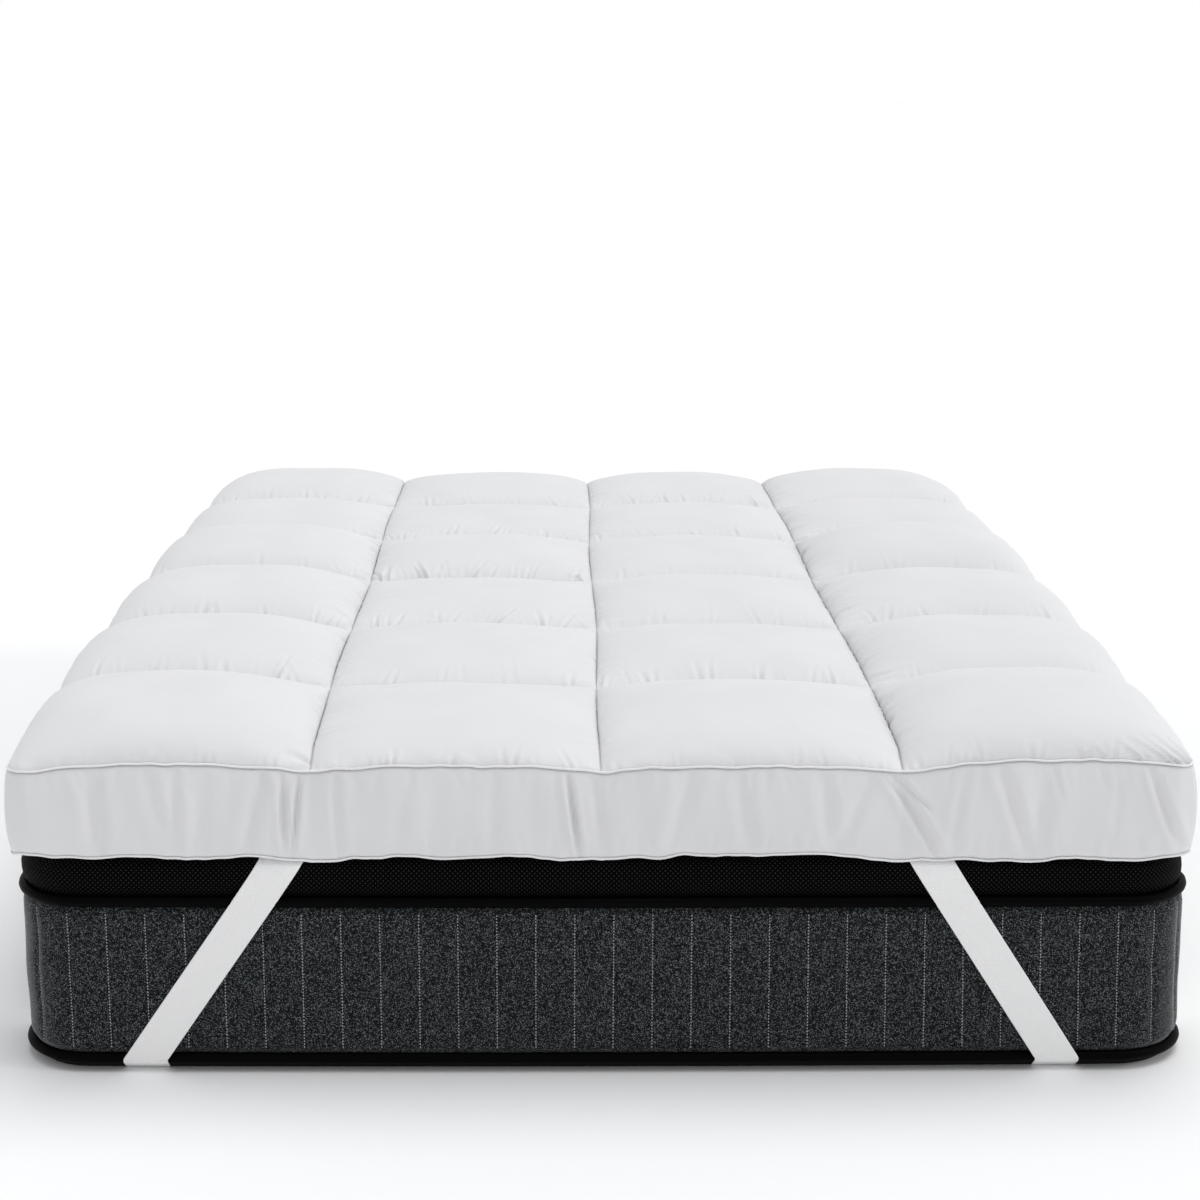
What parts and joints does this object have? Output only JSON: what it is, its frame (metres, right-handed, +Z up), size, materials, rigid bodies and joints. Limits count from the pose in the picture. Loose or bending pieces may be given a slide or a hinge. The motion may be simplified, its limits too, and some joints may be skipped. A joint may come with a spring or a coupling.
{
  "type": "mattress topper on mattress",
  "caption": "Quilted box-stitched mattress topper with piped boxing walls and elastic corner straps, fitted on a plain mattress.",
  "frame": {"origin": "on the floor under the middle of the mattress", "axes": "+Z up, +Y from the foot of the bed to its head, +X to the right seen from the foot"},
  "size_m": [1.5304, 2.0384, 0.4832],
  "materials": {
    "topper_cloth": "white brushed microfibre, tightly woven, soft low sheen",
    "topper_piping": "white bias-cut microfibre over cord",
    "strap_elastic": "white ribbed woven elastic",
    "border_cloth": "dark blue-grey heather knit with pale stitched lines",
    "mesh_band": "black spacer mesh",
    "mattress_piping": "black woven tape over cord",
    "bottom_cloth": "black non-woven cloth"
  },
  "bodies": {
    "root": {"topper_body": "topper_cloth", "topper_top_piping": "topper_piping", "topper_bottom_piping": "topper_piping", "strap_foot_left": "strap_elastic", "strap_foot_right": "strap_elastic", "strap_head_left": "strap_elastic", "strap_head_right": "strap_elastic", "mattress_border": "border_cloth", "mattress_top_band": "mesh_band", "mattress_mid_piping": "mattress_piping", "mattress_low_piping": "mattress_piping", "mattress_bottom_panel": "bottom_cloth"}
  },
  "joints": []
}
